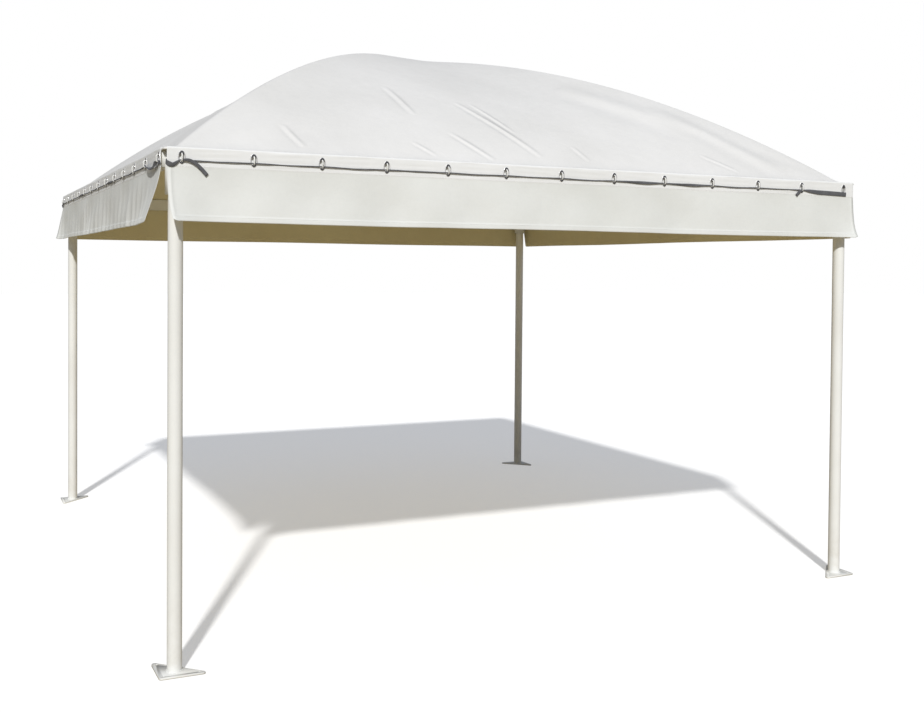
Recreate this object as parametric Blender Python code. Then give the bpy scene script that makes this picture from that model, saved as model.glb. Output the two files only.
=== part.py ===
"""Garden gazebo: a square steel frame with a laced fabric roof, standing on four posts."""

import math

import bmesh
import bpy
from mathutils import Matrix, Vector

# Driving dimensions, in metres. The origin is on the ground under the middle, the front faces -Y.
FRAME_HALF = 2.000
POST_AXIS = 1.940
GAP = 0.0003

POST_RADIUS = 0.035
POST_TOP = 2.250
PLATE_THICKNESS = 0.008
PLATE_LEG = 0.220
PLATE_CORNER_OUT = 0.080
PLATE_ROUNDING = 0.012
BOLT_HOLE_RADIUS = 0.006
BOLT_HOLE_FROM_SQUARE_TIP = 0.0312
BOLT_HOLE_FROM_SHARP_TIP = 0.0468

LACE_HEIGHT = 2.271
BEAM_HEIGHT = 0.080
BEAM_WIDTH = 0.040
FABRIC = 0.003
BEAM_FACE = FRAME_HALF - FABRIC - GAP
BEAM_LOW = LACE_HEIGHT - BEAM_HEIGHT / 2
BEAM_TOP = LACE_HEIGHT + BEAM_HEIGHT / 2
JOINT_ARM = 0.140

SLEEVE_RADIUS = 0.046
SLEEVE_LOW = 2.112
SLEEVE_TOP = 2.296
SLEEVE_BORE_ROOM = 0.002
RIB_ARM_LENGTH = 0.150

EYELET_COUNT = 13
EYELET_FIRST = -1.927
EYELET_PITCH = 0.3195
EYELET_WIDTH = 0.022
EYELET_HEIGHT = 0.042
STAPLE_ROD = 0.003
STAPLE_HALF_HEIGHT = 0.016
STAPLE_REACH = 0.017
STAPLE_ROOT = 0.006
STAPLE_CORNER = 0.005

BAND_LOW = 2.225
CLOTH_LEFT = -1.992
CLOTH_RIGHT = 1.955
VALANCE_LOW = 1.990
VALANCE_FLARE_LEFT = 0.035
VALANCE_FLARE_RIGHT = 0.060
VALANCE_REACH_LEFT = 0.350
VALANCE_REACH_RIGHT = 0.450
VALANCE_RIPPLE = 0.006
VALANCE_RIPPLES = 9
VALANCE_COLUMNS = 36
VALANCE_ROWS = 3

ROOF_EDGE = BEAM_TOP + GAP + FABRIC
ROOF_RISE = 0.860
ROOF_POWER = 1.90
ROOF_LEAD = 0.050
ROOF_SAG = 0.050
ROOF_ROWS = 10
ROOF_ACROSS = 8
RIB_RADIUS = 0.020
RIB_START = 0.160
RIB_CLEARANCE = 0.004
RIB_STRAIGHT_FOOT = 0.020
RIB_LEVEL_END = 0.015
HUB_RADIUS = 0.060
HUB_DEPTH = 0.045
RIB_HUB_GAP = 0.0007

STRAP_THICK = 0.0025
STRAP_WIDE = 0.025
STRAP_GATHERED = (0.006, 0.007)
STRAP_DROP = 0.009
STRAP_OUT = 0.009
STRAP_LAP = 0.008

# The loose end at each end of a strap: along the side, outwards, drop, fall of its line, width.
LEFT_TAIL = ((0.010, 0.0, 0.0, -0.3, 0.006), (0.030, 0.0, 0.012, -0.8, 0.016),
             (0.110, -0.004, 0.060, -0.6, 0.018))
RIGHT_TAIL = ((-0.006, 0.0, 0.0, -0.3, 0.006), (-0.040, -0.003, 0.026, -0.8, 0.020))

SIDES = ("front", "right", "back", "left")
CORNERS = ("front_left", "front_right", "back_right", "back_left")
EMPTY_EYELETS = {("front", EYELET_COUNT - 1)}

WHITE_PAINT = ((0.86, 0.86, 0.83, 1.0), 0.35, 0.0)
WHITE_CLOTH = ((0.82, 0.82, 0.80, 1.0), 0.70, 0.0)
GREY_WEBBING = ((0.13, 0.13, 0.14, 1.0), 0.85, 0.0)


def clear_scene():
    for item in list(bpy.data.objects):
        bpy.data.objects.remove(item, do_unlink=True)


def make_collection(name):
    collection = bpy.data.collections.new(name)
    bpy.context.scene.collection.children.link(collection)
    return collection


def make_material(name, look):
    colour, roughness, metallic = look
    material = bpy.data.materials.new(name)
    material.use_nodes = True
    shader = material.node_tree.nodes["Principled BSDF"]
    shader.inputs["Base Color"].default_value = colour
    shader.inputs["Roughness"].default_value = roughness
    shader.inputs["Metallic"].default_value = metallic
    material.diffuse_color = colour
    return material


def add_piece(name, mesh, look, quarter_turns=0):
    """Puts a mesh into the gazebo as a named piece, turned about the middle by quarter turns."""
    piece = bpy.data.objects.new(name, mesh)
    piece.rotation_euler = (0.0, 0.0, quarter_turns * math.pi / 2)
    piece.data.materials.clear()
    piece.data.materials.append(make_material(name, look))
    GAZEBO.objects.link(piece)
    return piece


def evaluated_mesh(item):
    """The mesh of an object with its modifiers, or of a curve with its caps welded."""
    bpy.context.view_layer.update()
    graph = bpy.context.evaluated_depsgraph_get()
    mesh = bpy.data.meshes.new_from_object(item.evaluated_get(graph))
    shape = bmesh.new()
    shape.from_mesh(mesh)
    bmesh.ops.remove_doubles(shape, verts=shape.verts, dist=0.00001)
    bmesh.ops.recalc_face_normals(shape, faces=shape.faces)
    shape.to_mesh(mesh)
    shape.free()
    mesh.transform(item.matrix_world)
    return mesh


def scratch_object(data):
    item = bpy.data.objects.new("scratch", data)
    bpy.context.scene.collection.objects.link(item)
    return item


def combine(mesh, tools, operation):
    """Joins the tools to a mesh, or cuts them from it, one after another."""
    for tool in tools:
        body, helper = scratch_object(mesh), scratch_object(tool)
        helper.hide_render = True
        helper.display_type = "WIRE"
        step = body.modifiers.new("combine", "BOOLEAN")
        step.operation = operation
        step.solver = "EXACT"
        step.object = helper
        mesh = evaluated_mesh(body)
        split_faces(mesh)
        bpy.data.objects.remove(helper, do_unlink=True)
        bpy.data.objects.remove(body, do_unlink=True)
    return mesh


def split_faces(mesh):
    """Turns faces with a hole in them into triangles, so that the next join meets flat faces."""
    shape = bmesh.new()
    shape.from_mesh(mesh)
    bmesh.ops.triangulate(shape, faces=shape.faces)
    shape.to_mesh(mesh)
    shape.free()


def gather(meshes):
    """Several shapes that don't touch, as one mesh."""
    shape = bmesh.new()
    for mesh in meshes:
        shape.from_mesh(mesh)
    return mesh_from(shape)


def mesh_from(shape, name="shape"):
    mesh = bpy.data.meshes.new(name)
    shape.to_mesh(mesh)
    shape.free()
    return mesh


def box(low, high):
    low, high = Vector(low), Vector(high)
    shape = bmesh.new()
    bmesh.ops.create_cube(shape, size=1.0)
    size = high - low
    middle = (high + low) / 2
    bmesh.ops.transform(shape, matrix=Matrix.Translation(middle) @ Matrix.Diagonal((*size, 1.0)),
                        verts=shape.verts)
    return mesh_from(shape)


def rod(start, end, radius, sides=20):
    """A round bar from one point to another."""
    start, end = Vector(start), Vector(end)
    along = end - start
    shape = bmesh.new()
    bmesh.ops.create_cone(shape, cap_ends=True, segments=sides, radius1=radius, radius2=radius,
                          depth=along.length)
    turn = along.to_track_quat("Z", "Y").to_matrix().to_4x4()
    bmesh.ops.transform(shape, matrix=Matrix.Translation((start + end) / 2) @ turn, verts=shape.verts)
    mesh = mesh_from(shape)
    smooth_round(mesh)
    return mesh


def smooth_round(mesh):
    mesh.shade_smooth()
    mesh.set_sharp_from_angle(angle=math.radians(40))


def tube_along(points, radius, resolution):
    """A round bar along a smooth line of points, with closed ends."""
    curve = bpy.data.curves.new("path", "CURVE")
    curve.dimensions = "3D"
    curve.bevel_depth = radius
    curve.bevel_resolution = resolution
    curve.use_fill_caps = True
    spline = curve.splines.new("POLY")
    spline.points.add(len(points) - 1)
    for knot, point in zip(spline.points, points):
        knot.co = (*point, 1.0)
    item = scratch_object(curve)
    mesh = evaluated_mesh(item)
    bpy.data.objects.remove(item, do_unlink=True)
    return mesh


def flat_plate(outlines, thickness):
    """A flat plate in XY from closed outlines, the first one outside and the others holes."""
    curve = bpy.data.curves.new("outline", "CURVE")
    curve.dimensions = "2D"
    curve.fill_mode = "BOTH"
    curve.extrude = thickness / 2
    for outline in outlines:
        spline = curve.splines.new("POLY")
        spline.points.add(len(outline) - 1)
        for knot, (x, y) in zip(spline.points, outline):
            knot.co = (x, y, 0.0, 1.0)
        spline.use_cyclic_u = True
    item = scratch_object(curve)
    mesh = evaluated_mesh(item)
    bpy.data.objects.remove(item, do_unlink=True)
    return mesh


def ellipse(centre_x, centre_y, width, height, count):
    turns = [2 * math.pi * (step + 0.5) / count for step in range(count)]
    return [(centre_x + width / 2 * math.cos(a), centre_y + height / 2 * math.sin(a)) for a in turns]


def ribbon(stations):
    """A strap: each station is its centre, its direction, its thickness and its width.

    The thickness lies level across the direction and the width stands upright across it.
    """
    shape = bmesh.new()
    rings = []
    for centre, along, thickness, width in stations:
        centre, along = Vector(centre), Vector(along).normalized()
        across = along.cross(Vector((0.0, 0.0, 1.0))).normalized()
        upright = across.cross(along).normalized()
        corners = ((-1, -1), (1, -1), (1, 1), (-1, 1))
        rings.append([shape.verts.new(centre + across * thickness / 2 * a + upright * width / 2 * b)
                      for a, b in corners])
    for ring, following in zip(rings, rings[1:]):
        for k in range(4):
            shape.faces.new((ring[k], ring[(k + 1) % 4], following[(k + 1) % 4], following[k]))
    shape.faces.new(list(reversed(rings[0])))
    shape.faces.new(rings[-1])
    bmesh.ops.recalc_face_normals(shape, faces=shape.faces)
    return mesh_from(shape)


def eyelet_places():
    return [EYELET_FIRST + EYELET_PITCH * number for number in range(EYELET_COUNT)]


def staple(x):
    """A U of bar on the front face at x, with both legs sunk into the beam."""
    inner = -BEAM_FACE + STAPLE_ROOT
    outer = -FRAME_HALF - STAPLE_REACH
    low, high = LACE_HEIGHT - STAPLE_HALF_HEIGHT, LACE_HEIGHT + STAPLE_HALF_HEIGHT
    corner = STAPLE_CORNER
    points = [(x, inner, low), (x, outer + corner, low), (x, outer, low + corner),
              (x, outer, high - corner), (x, outer + corner, high), (x, inner, high)]
    return tube_along(points, STAPLE_ROD, 1)


def turned(mesh, quarter_turns):
    mesh.transform(Matrix.Rotation(quarter_turns * math.pi / 2, 4, "Z"))
    return mesh


def roof_height(inset):
    """Top of the roof over a rib, by the distance in from the edge of the frame."""
    rising = min(1.0, max(0.0, inset - ROOF_LEAD) / (FRAME_HALF - ROOF_LEAD))
    return ROOF_EDGE + ROOF_RISE * (1.0 - (1.0 - rising) ** ROOF_POWER)


def roof_insets():
    """The levels of the roof, closer together near the eaves, as distances in from its edge."""
    return [FRAME_HALF * (1.0 - (1.0 - row / ROOF_ROWS) ** 1.15) for row in range(ROOF_ROWS)]


def rib_point(inset):
    """Centre of a rib, just clear of the cloth of the two roof slopes that meet over it."""
    step = 0.001
    slope = (roof_height(inset + step) - roof_height(inset - step)) / (2 * step)
    drop = FABRIC + RIB_CLEARANCE + RIB_RADIUS * math.sqrt(1.0 + slope * slope)
    place = -(FRAME_HALF - inset)
    return Vector((place, place, roof_height(inset) - drop))


def make_foot_plate():
    """A three-cornered plate, square at the outer corner, with a bolt hole near each corner."""
    out = -POST_AXIS - PLATE_CORNER_OUT
    tips = [(out, out), (out + PLATE_LEG, out), (out, out + PLATE_LEG)]
    outline = []
    for index, tip in enumerate(tips):
        tip = Vector(tip)
        before = (Vector(tips[index - 1]) - tip).normalized()
        after = (Vector(tips[(index + 1) % 3]) - tip).normalized()
        half = before.angle(after) / 2
        back = PLATE_ROUNDING / math.tan(half)
        centre = tip + (before + after).normalized() * PLATE_ROUNDING / math.sin(half)
        first, last = tip + before * back, tip + after * back
        middle = centre + (tip - centre).normalized() * PLATE_ROUNDING
        outline += [tuple(first), tuple(middle), tuple(last)]
    third = PLATE_LEG / 3
    heart = Vector((out + third, out + third))
    holes = []
    for tip in tips:
        tip = Vector(tip)
        inset = BOLT_HOLE_FROM_SQUARE_TIP if tip.x == tip.y else BOLT_HOLE_FROM_SHARP_TIP
        centre = tip + (heart - tip).normalized() * inset
        holes.append(ellipse(centre.x, centre.y, BOLT_HOLE_RADIUS * 2, BOLT_HOLE_RADIUS * 2, 10))
    mesh = flat_plate([outline] + holes, PLATE_THICKNESS)
    mesh.transform(Matrix.Translation((0.0, 0.0, PLATE_THICKNESS / 2)))
    return mesh


def make_post():
    return rod((-POST_AXIS, -POST_AXIS, PLATE_THICKNESS + GAP), (-POST_AXIS, -POST_AXIS, POST_TOP),
               POST_RADIUS, 24)


def rib_foot():
    """Where a rib meets its corner joint, and the direction that both have there."""
    slant = (rib_point(RIB_START + 0.01) - rib_point(RIB_START - 0.01)).normalized()
    return rib_point(RIB_START), slant


def make_corner_joint(with_near_staple):
    """Sleeve over the post, two arms that carry on the beams and one that carries on the rib."""
    sleeve = rod((-POST_AXIS, -POST_AXIS, SLEEVE_LOW), (-POST_AXIS, -POST_AXIS, SLEEVE_TOP),
                 SLEEVE_RADIUS, 24)
    arm_end = -POST_AXIS + JOINT_ARM
    front_arm = box((-POST_AXIS, -BEAM_FACE, BEAM_LOW), (arm_end, -BEAM_FACE + BEAM_WIDTH, BEAM_TOP))
    side_arm = box((-BEAM_FACE, -POST_AXIS, BEAM_LOW), (-BEAM_FACE + BEAM_WIDTH, arm_end, BEAM_TOP))
    meeting, slant = rib_foot()
    rib_arm = rod(meeting - slant * RIB_ARM_LENGTH, meeting, RIB_RADIUS, 16)
    places = eyelet_places()
    tools = [front_arm, side_arm, rib_arm, staple(places[0])]
    if with_near_staple:
        tools.append(turned(staple(places[-1]), -1))
    body = combine(sleeve, tools, "UNION")
    bore = rod((-POST_AXIS, -POST_AXIS, SLEEVE_LOW - SLEEVE_BORE_ROOM),
               (-POST_AXIS, -POST_AXIS, POST_TOP + SLEEVE_BORE_ROOM), POST_RADIUS + GAP, 24)
    mesh = combine(body, [bore], "DIFFERENCE")
    smooth_round(mesh)
    return mesh


def make_beam():
    """A box beam with the staples for the lacing welded along its outer face."""
    reach = POST_AXIS - JOINT_ARM - GAP
    body = box((-reach, -BEAM_FACE, BEAM_LOW), (reach, -BEAM_FACE + BEAM_WIDTH, BEAM_TOP))
    staples = [staple(x) for x in eyelet_places() if abs(x) < reach]
    return combine(body, [gather(staples)], "UNION")


def make_rib():
    """Half an arch, from a corner joint to the hub under the crown."""
    meeting, slant = rib_foot()
    last = FRAME_HALF - (HUB_RADIUS + RIB_HUB_GAP) / math.sqrt(2)
    points = [meeting + slant * GAP, meeting + slant * RIB_STRAIGHT_FOOT]
    points += [rib_point(inset) for inset in roof_insets() if inset > RIB_START + 2 * RIB_STRAIGHT_FOOT]
    points += [rib_point(last - RIB_LEVEL_END), rib_point(last)]
    mesh = tube_along(points, RIB_RADIUS, 2)
    smooth_round(mesh)
    return mesh


def make_hub():
    top = rib_point(FRAME_HALF).z + RIB_RADIUS - GAP
    return rod((0.0, 0.0, top - HUB_DEPTH), (0.0, 0.0, top), HUB_RADIUS, 24)


def make_roof():
    """The four slopes in one sheet: each rises with the ribs at its sides and sags between them."""
    shape = bmesh.new()
    rings = []
    for inset in roof_insets():
        half = FRAME_HALF - inset
        ring = []
        for side in range(4):
            for step in range(ROOF_ACROSS):
                across = -1.0 + 2.0 * step / ROOF_ACROSS
                sag = ROOF_SAG * (1.0 - across * across) * math.sin(math.pi * inset / FRAME_HALF) ** 2
                point = Vector((across * half, -half, roof_height(inset) - sag))
                point.rotate(Matrix.Rotation(side * math.pi / 2, 3, "Z"))
                ring.append(shape.verts.new(point))
        rings.append(ring)
    crown = shape.verts.new((0.0, 0.0, roof_height(FRAME_HALF)))
    total = 4 * ROOF_ACROSS
    for ring, following in zip(rings, rings[1:]):
        for k in range(total):
            shape.faces.new((ring[k], ring[(k + 1) % total], following[(k + 1) % total], following[k]))
    for k in range(total):
        shape.faces.new((rings[-1][k], rings[-1][(k + 1) % total], crown))
    grown = bmesh.ops.extrude_face_region(shape, geom=list(shape.faces))
    lower = [part for part in grown["geom"] if isinstance(part, bmesh.types.BMVert)]
    bmesh.ops.translate(shape, verts=lower, vec=(0.0, 0.0, -FABRIC))
    bmesh.ops.recalc_face_normals(shape, faces=shape.faces)
    mesh = mesh_from(shape)
    smooth_round(mesh)
    return mesh


def make_band():
    """The doubled hem of the roof along one beam, with its row of oval eyelet holes."""
    top = BEAM_TOP
    outline = [(CLOTH_LEFT, BAND_LOW), (CLOTH_RIGHT, BAND_LOW), (CLOTH_RIGHT, top), (CLOTH_LEFT, top)]
    holes = [ellipse(x, LACE_HEIGHT, EYELET_WIDTH, EYELET_HEIGHT, 8) for x in eyelet_places()]
    mesh = flat_plate([outline] + holes, FABRIC)
    mesh.transform(Matrix.Rotation(math.pi / 2, 4, "X"))
    mesh.transform(Matrix.Translation((0.0, -FRAME_HALF + FABRIC / 2, 0.0)))
    return mesh


def make_valance():
    """The cloth that hangs below the band, waved a little and swung out at its free corners."""
    shape = bmesh.new()
    grid = bmesh.ops.create_grid(shape, x_segments=VALANCE_COLUMNS, y_segments=VALANCE_ROWS, size=1.0)
    top = BAND_LOW - GAP
    for vertex in grid["verts"]:
        share = (vertex.co.x + 1.0) / 2
        fall = (1.0 - vertex.co.y) / 2
        x = CLOTH_LEFT + (CLOTH_RIGHT - CLOTH_LEFT) * share
        wave = VALANCE_RIPPLE * fall * (1.0 - math.cos(2 * math.pi * VALANCE_RIPPLES * share)) / 2
        from_left = max(0.0, 1.0 - (x - CLOTH_LEFT) / VALANCE_REACH_LEFT)
        from_right = max(0.0, 1.0 - (CLOTH_RIGHT - x) / VALANCE_REACH_RIGHT)
        flare = VALANCE_FLARE_LEFT * from_left ** 2 + VALANCE_FLARE_RIGHT * from_right ** 2
        out = wave + flare * fall ** 1.6
        vertex.co = (x, -FRAME_HALF - out, top - (top - VALANCE_LOW) * fall)
    grown = bmesh.ops.extrude_face_region(shape, geom=list(shape.faces))
    inner = [part for part in grown["geom"] if isinstance(part, bmesh.types.BMVert)]
    bmesh.ops.translate(shape, verts=inner, vec=(0.0, FABRIC, 0.0))
    bmesh.ops.recalc_face_normals(shape, faces=shape.faces)
    mesh = mesh_from(shape)
    smooth_round(mesh)
    return mesh


def make_strap(with_last_staple):
    """One lacing strap with its ends: gathered in the staples, flat where it is loose."""
    places = eyelet_places()
    threaded = places if with_last_staple else places[:-1]
    lie = LACE_HEIGHT - STRAP_DROP
    out = -FRAME_HALF - STRAP_OUT
    close = -FRAME_HALF - STRAP_THICK / 2 - GAP
    gathered_thick, gathered_wide = STRAP_GATHERED
    right = (1.0, 0.0, 0.0)
    edge = CLOTH_LEFT - STRAP_THICK / 2 - GAP
    stations = [
        ((-1.9800, -1.9790, lie - 0.006), (-0.8, -0.5, 0.0), STRAP_THICK, STRAP_WIDE),
        ((edge - 0.0005, -1.9905, lie - 0.008), (-0.1, -1.0, 0.0), STRAP_THICK, STRAP_WIDE),
        ((edge - 0.0005, close - 0.0010, lie - 0.010), (0.35, -0.94, 0.0), STRAP_THICK, STRAP_WIDE),
        ((CLOTH_LEFT + 0.004, close - 0.0030, lie - 0.013), (1.0, 0.0, 0.0), STRAP_THICK, STRAP_WIDE),
        ((places[0] - 0.035, close - 0.002, lie - 0.018), right, STRAP_THICK, STRAP_WIDE),
        ((places[0] - STRAP_LAP, out, lie), right, gathered_thick, gathered_wide),
    ]
    stations += [((x + STRAP_LAP, out, lie), right, gathered_thick, gathered_wide) for x in threaded]
    doubled = close - STRAP_THICK / 2
    flat_start = places[-1] + 0.020 if with_last_staple else places[-2] + 0.050
    flat_end = places[-1] + 0.040 if with_last_staple else places[-1] + 0.018
    stations += [
        ((flat_start, doubled, lie - 0.008), right, 2 * STRAP_THICK, STRAP_WIDE),
        ((flat_end, doubled, lie - 0.014), right, 2 * STRAP_THICK, STRAP_WIDE),
    ]
    body = ribbon(stations)
    tails = []
    for start, heading, rows in ((places[0], 1.0, LEFT_TAIL), (threaded[-1], -1.0, RIGHT_TAIL)):
        tails.append(ribbon([((start + along, out - outward, lie - drop), (heading, 0.0, fall),
                              STRAP_THICK, width) for along, outward, drop, fall, width in rows]))
    return combine(body, tails, "UNION")


def build_gazebo():
    joint_full = make_corner_joint(True)
    joint_bare = make_corner_joint(False)
    foot_plate, post, rib = make_foot_plate(), make_post(), make_rib()
    for turns, corner in enumerate(CORNERS):
        near_side = SIDES[turns - 1]
        bare = (near_side, EYELET_COUNT - 1) in EMPTY_EYELETS
        joint = joint_bare if bare else joint_full
        add_piece("foot_plate_" + corner, foot_plate.copy(), WHITE_PAINT, turns)
        add_piece("post_" + corner, post.copy(), WHITE_PAINT, turns)
        add_piece("corner_joint_" + corner, joint.copy(), WHITE_PAINT, turns)
        add_piece("rib_" + corner, rib.copy(), WHITE_PAINT, turns)
    beam, band, valance = make_beam(), make_band(), make_valance()
    strap_full, strap_bare = make_strap(True), make_strap(False)
    for turns, side in enumerate(SIDES):
        bare = (side, EYELET_COUNT - 1) in EMPTY_EYELETS
        strap = strap_bare if bare else strap_full
        add_piece("beam_" + side, beam.copy(), WHITE_PAINT, turns)
        add_piece("hem_band_" + side, band.copy(), WHITE_CLOTH, turns)
        add_piece("valance_" + side, valance.copy(), WHITE_CLOTH, turns)
        add_piece("strap_" + side, strap.copy(), GREY_WEBBING, turns)
    add_piece("crown_hub", make_hub(), WHITE_PAINT)
    add_piece("roof_cover", make_roof(), WHITE_CLOTH)


clear_scene()
GAZEBO = make_collection("garden_gazebo")
build_gazebo()
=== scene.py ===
"""Looks of the garden gazebo: a laced cloth roof with hanging valances over a white steel frame."""
import math

import bmesh
import bpy
import numpy as np
from mathutils import Matrix, Vector


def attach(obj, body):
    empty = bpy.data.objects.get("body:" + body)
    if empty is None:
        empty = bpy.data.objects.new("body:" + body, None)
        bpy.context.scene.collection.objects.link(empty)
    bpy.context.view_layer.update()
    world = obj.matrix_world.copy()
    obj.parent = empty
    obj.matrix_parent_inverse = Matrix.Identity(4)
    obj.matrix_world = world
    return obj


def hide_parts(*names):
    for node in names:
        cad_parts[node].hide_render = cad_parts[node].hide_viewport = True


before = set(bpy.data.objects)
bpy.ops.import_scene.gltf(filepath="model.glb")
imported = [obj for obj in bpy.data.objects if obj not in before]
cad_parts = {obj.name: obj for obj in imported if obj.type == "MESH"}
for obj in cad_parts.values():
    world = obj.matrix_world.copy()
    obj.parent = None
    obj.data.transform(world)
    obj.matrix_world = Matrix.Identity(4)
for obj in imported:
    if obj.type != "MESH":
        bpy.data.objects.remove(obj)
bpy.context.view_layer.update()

# Sizes of the frame, in metres, as the solids have them. The front faces -Y.
FRAME_HALF = 2.000
POST_AXIS = 1.940
POST_RADIUS = 0.0330
POST_FOOT = 0.0083
POST_TOP = 2.250
LACE_HEIGHT = 2.271
BEAM_TOP = 2.311
SLEEVE_RADIUS = 0.046
SLEEVE_LOW = 2.112
EYELET_COUNT = 13
EYELET_FIRST = -1.927
EYELET_PITCH = 0.3195
CLOTH_ENDS = {"front": (-1.990, 1.981), "right": (-1.972, 1.985), "back": (-1.992, 1.955), "left": (-1.992, 1.940)}
VALANCE_LOW = 1.990
ROOF_EDGE = 2.3143
ROOF_RISE = 0.860
ROOF_POWER = 1.90
ROOF_LEAD = 0.050
ROOF_SAG = 0.050
RIB_RADIUS = 0.020
RIB_START = 0.160
RIB_END = 1.957
RIB_DROP = 0.007

SIDES = ("front", "right", "back", "left")
CORNERS = ("front_left", "front_right", "back_right", "back_left")
EYELETS = [EYELET_FIRST + EYELET_PITCH * number for number in range(EYELET_COUNT)]

# The roof cloth.
CLOTH_THICK = 0.0012
ROOF_ROWS = 66
ROOF_COLUMNS = 96
RIDGE_ROUND = 0.022
SKIRT = ((0.0014, 2.3030), (0.0014, 2.3085), (0.0010, 2.3128), (-0.0010, 2.3141))
HEM_ALLOWANCE = 0.055

# Creases of the front slope: start and end as (along the side, in from the edge), width and height.
FRONT_CREASES = (
    ((-0.672, 0.761), (-0.632, 0.437), 0.016, 0.0036),
    ((-0.305, 0.641), (-0.047, 0.124), 0.016, 0.0046),
    ((-0.216, 0.638), (-0.102, 0.324), 0.013, 0.0030),
    ((-0.503, 0.287), (-0.344, 0.086), 0.014, 0.0036),
    ((-0.756, 0.183), (-0.662, 0.092), 0.012, 0.0022),
    ((-1.400, 0.249), (-1.336, 0.098), 0.014, 0.0028),
    ((1.043, 0.224), (1.222, 0.092), 0.014, 0.0022),
    ((0.196, 0.230), (0.235, 0.111), 0.013, 0.0020),
    ((1.028, 0.739), (1.574, 0.076), 0.060, 0.0060),
    ((0.592, 1.021), (1.202, 0.428), 0.090, 0.0080),
)
CREASES_PER_SLOPE = 9
CREASE_DEPTH = 1.7

# The hem band in front of a beam: how far out it stands and how high, from its lower edge up.
BAND_ROWS = ((0.0040, 2.2290), (0.0046, 2.2296), (0.0046, 2.2320), (0.0046, 2.2360), (0.0046, 2.2400),
             (0.0046, 2.2470), (0.0046, 2.2550), (0.0046, 2.2630), (0.0046, 2.2710), (0.0046, 2.2790),
             (0.0046, 2.2870), (0.0046, 2.2950), (0.0046, 2.3030), (0.0046, 2.3085), (0.0036, 2.3130),
             (0.0016, 2.3158), (-0.0020, 2.3164), (-0.0100, 2.3162), (-0.0160, 2.3160), (-0.0170, 2.3150))
WINDOW_ROW = 8
WINDOW_HALF = 0.030
HOLE_HALF_WIDTH = 0.0115
HOLE_HALF_HEIGHT = 0.0235
GROMMET_RIM = 0.0050
# Painted shade at the eyelets: dark bows over the top and the bottom of each rim, as first and last angle, inner and
# outer reach from the hole's edge.
EYELET_SHADE_BOWS = ((28, 152, -0.0050, 0.0050), (222, 318, -0.0010, 0.0055))

# A valance: its pleats and their depth, how far its lower edge swings out, and for each free end, left
# and right as seen from outside, how far its corner swings out, over what reach, how far it draws in,
# and how late in its fall it does both.
VALANCE_TOP = 2.2370
VALANCE_SEAM = 2.2300
VALANCE_COLUMNS = 240
VALANCE_ROWS = 22
VALANCE_SHAPES = {
    "front": dict(pleats=7, depth=0.0040, swing=0.014, left=(0.050, 0.20, 0.017, 3.6), right=(0.034, 0.24, 0.0, 4.0)),
    "right": dict(pleats=16, depth=0.0060, swing=0.010, left=(0.004, 0.20, 0.012, 2.0), right=(0.012, 0.30, 0.0, 1.5)),
    "back": dict(pleats=14, depth=0.0055, swing=0.010, left=(0.010, 0.30, 0.0, 1.5), right=(0.040, 0.40, 0.0, 1.5)),
    "left": dict(pleats=34, depth=0.0090, swing=0.004, left=(0.046, 0.16, 0.0, 1.5), right=(0.056, 0.95, 0.032, 1.3)),
}


# Tools for meshes and node trees.

def add(tree, kind, inputs=None, **settings):
    """One node of a tree, with its settings, and its inputs as values or as links from other sockets."""
    node = tree.nodes.new(kind)
    for name, value in settings.items():
        setattr(node, name, value)
    for name, value in (inputs or {}).items():
        if isinstance(value, bpy.types.NodeSocket):
            tree.links.new(value, node.inputs[name])
        else:
            node.inputs[name].default_value = value
    return node


def link_object(name, mesh):
    item = bpy.data.objects.new(name, mesh)
    bpy.context.scene.collection.objects.link(item)
    return item


def finished(holder, name):
    """The plain mesh of an object with its modifiers, as a new object in place of the first."""
    bpy.context.view_layer.update()
    graph = bpy.context.evaluated_depsgraph_get()
    mesh = bpy.data.meshes.new_from_object(holder.evaluated_get(graph))
    bpy.data.objects.remove(holder, do_unlink=True)
    mesh.name = name
    return link_object(name, mesh)


def quarter(points, turns):
    """Points of the front side, turned about the middle to another side."""
    points = np.array(points, float)
    for _ in range(turns % 4):
        points = np.stack([-points[..., 1], points[..., 0], points[..., 2]], -1)
    return points


def grid_mesh(name, points, flat, closed=False, removed=None):
    """A sheet through rows of points, from the bottom up, with a map of its flat cut in metres."""
    rows, columns = points.shape[:2]
    mesh = bpy.data.meshes.new(name)
    faces, corners = [], []
    for row in range(rows - 1):
        for column in range(columns if closed else columns - 1):
            if removed is not None and removed(row, column):
                continue
            after = (column + 1) % columns
            faces.append((row * columns + column, row * columns + after,
                          (row + 1) * columns + after, (row + 1) * columns + column))
            corners += [flat[row, column], flat[row, column + 1], flat[row + 1, column + 1],
                        flat[row + 1, column]]
    mesh.from_pydata(points.reshape(-1, 3).tolist(), [], faces)
    layer = mesh.uv_layers.new(name="Cut")
    layer.data.foreach_set("uv", np.array(corners, np.float32).ravel())
    mesh.update()
    return mesh


def thicken(name, mesh, thickness, outer, inner):
    """A sheet with its thickness on the inside, one finish on its outer face and one on its inner."""
    holder = link_object(name + "_flat", mesh)
    mesh.materials.append(outer)
    mesh.materials.append(inner)
    wall = holder.modifiers.new("wall", "SOLIDIFY")
    wall.thickness = thickness
    wall.offset = -1.0
    wall.use_even_offset = True
    wall.material_offset = 1
    piece = finished(holder, name)
    piece.data.shade_smooth()
    return piece


def join_meshes(name, meshes):
    shape = bmesh.new()
    for mesh in meshes:
        shape.from_mesh(mesh)
    joined = bpy.data.meshes.new(name)
    shape.to_mesh(joined)
    shape.free()
    return joined


# Finishes.

def new_finish(name, colour, roughness, metallic=0.0):
    finish = bpy.data.materials.new(name)
    finish.use_nodes = True
    tree = finish.node_tree
    shader = tree.nodes["Principled BSDF"]
    shader.inputs["Base Color"].default_value = (*colour, 1.0)
    shader.inputs["Roughness"].default_value = roughness
    shader.inputs["Metallic"].default_value = metallic
    return finish, tree, shader


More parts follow.
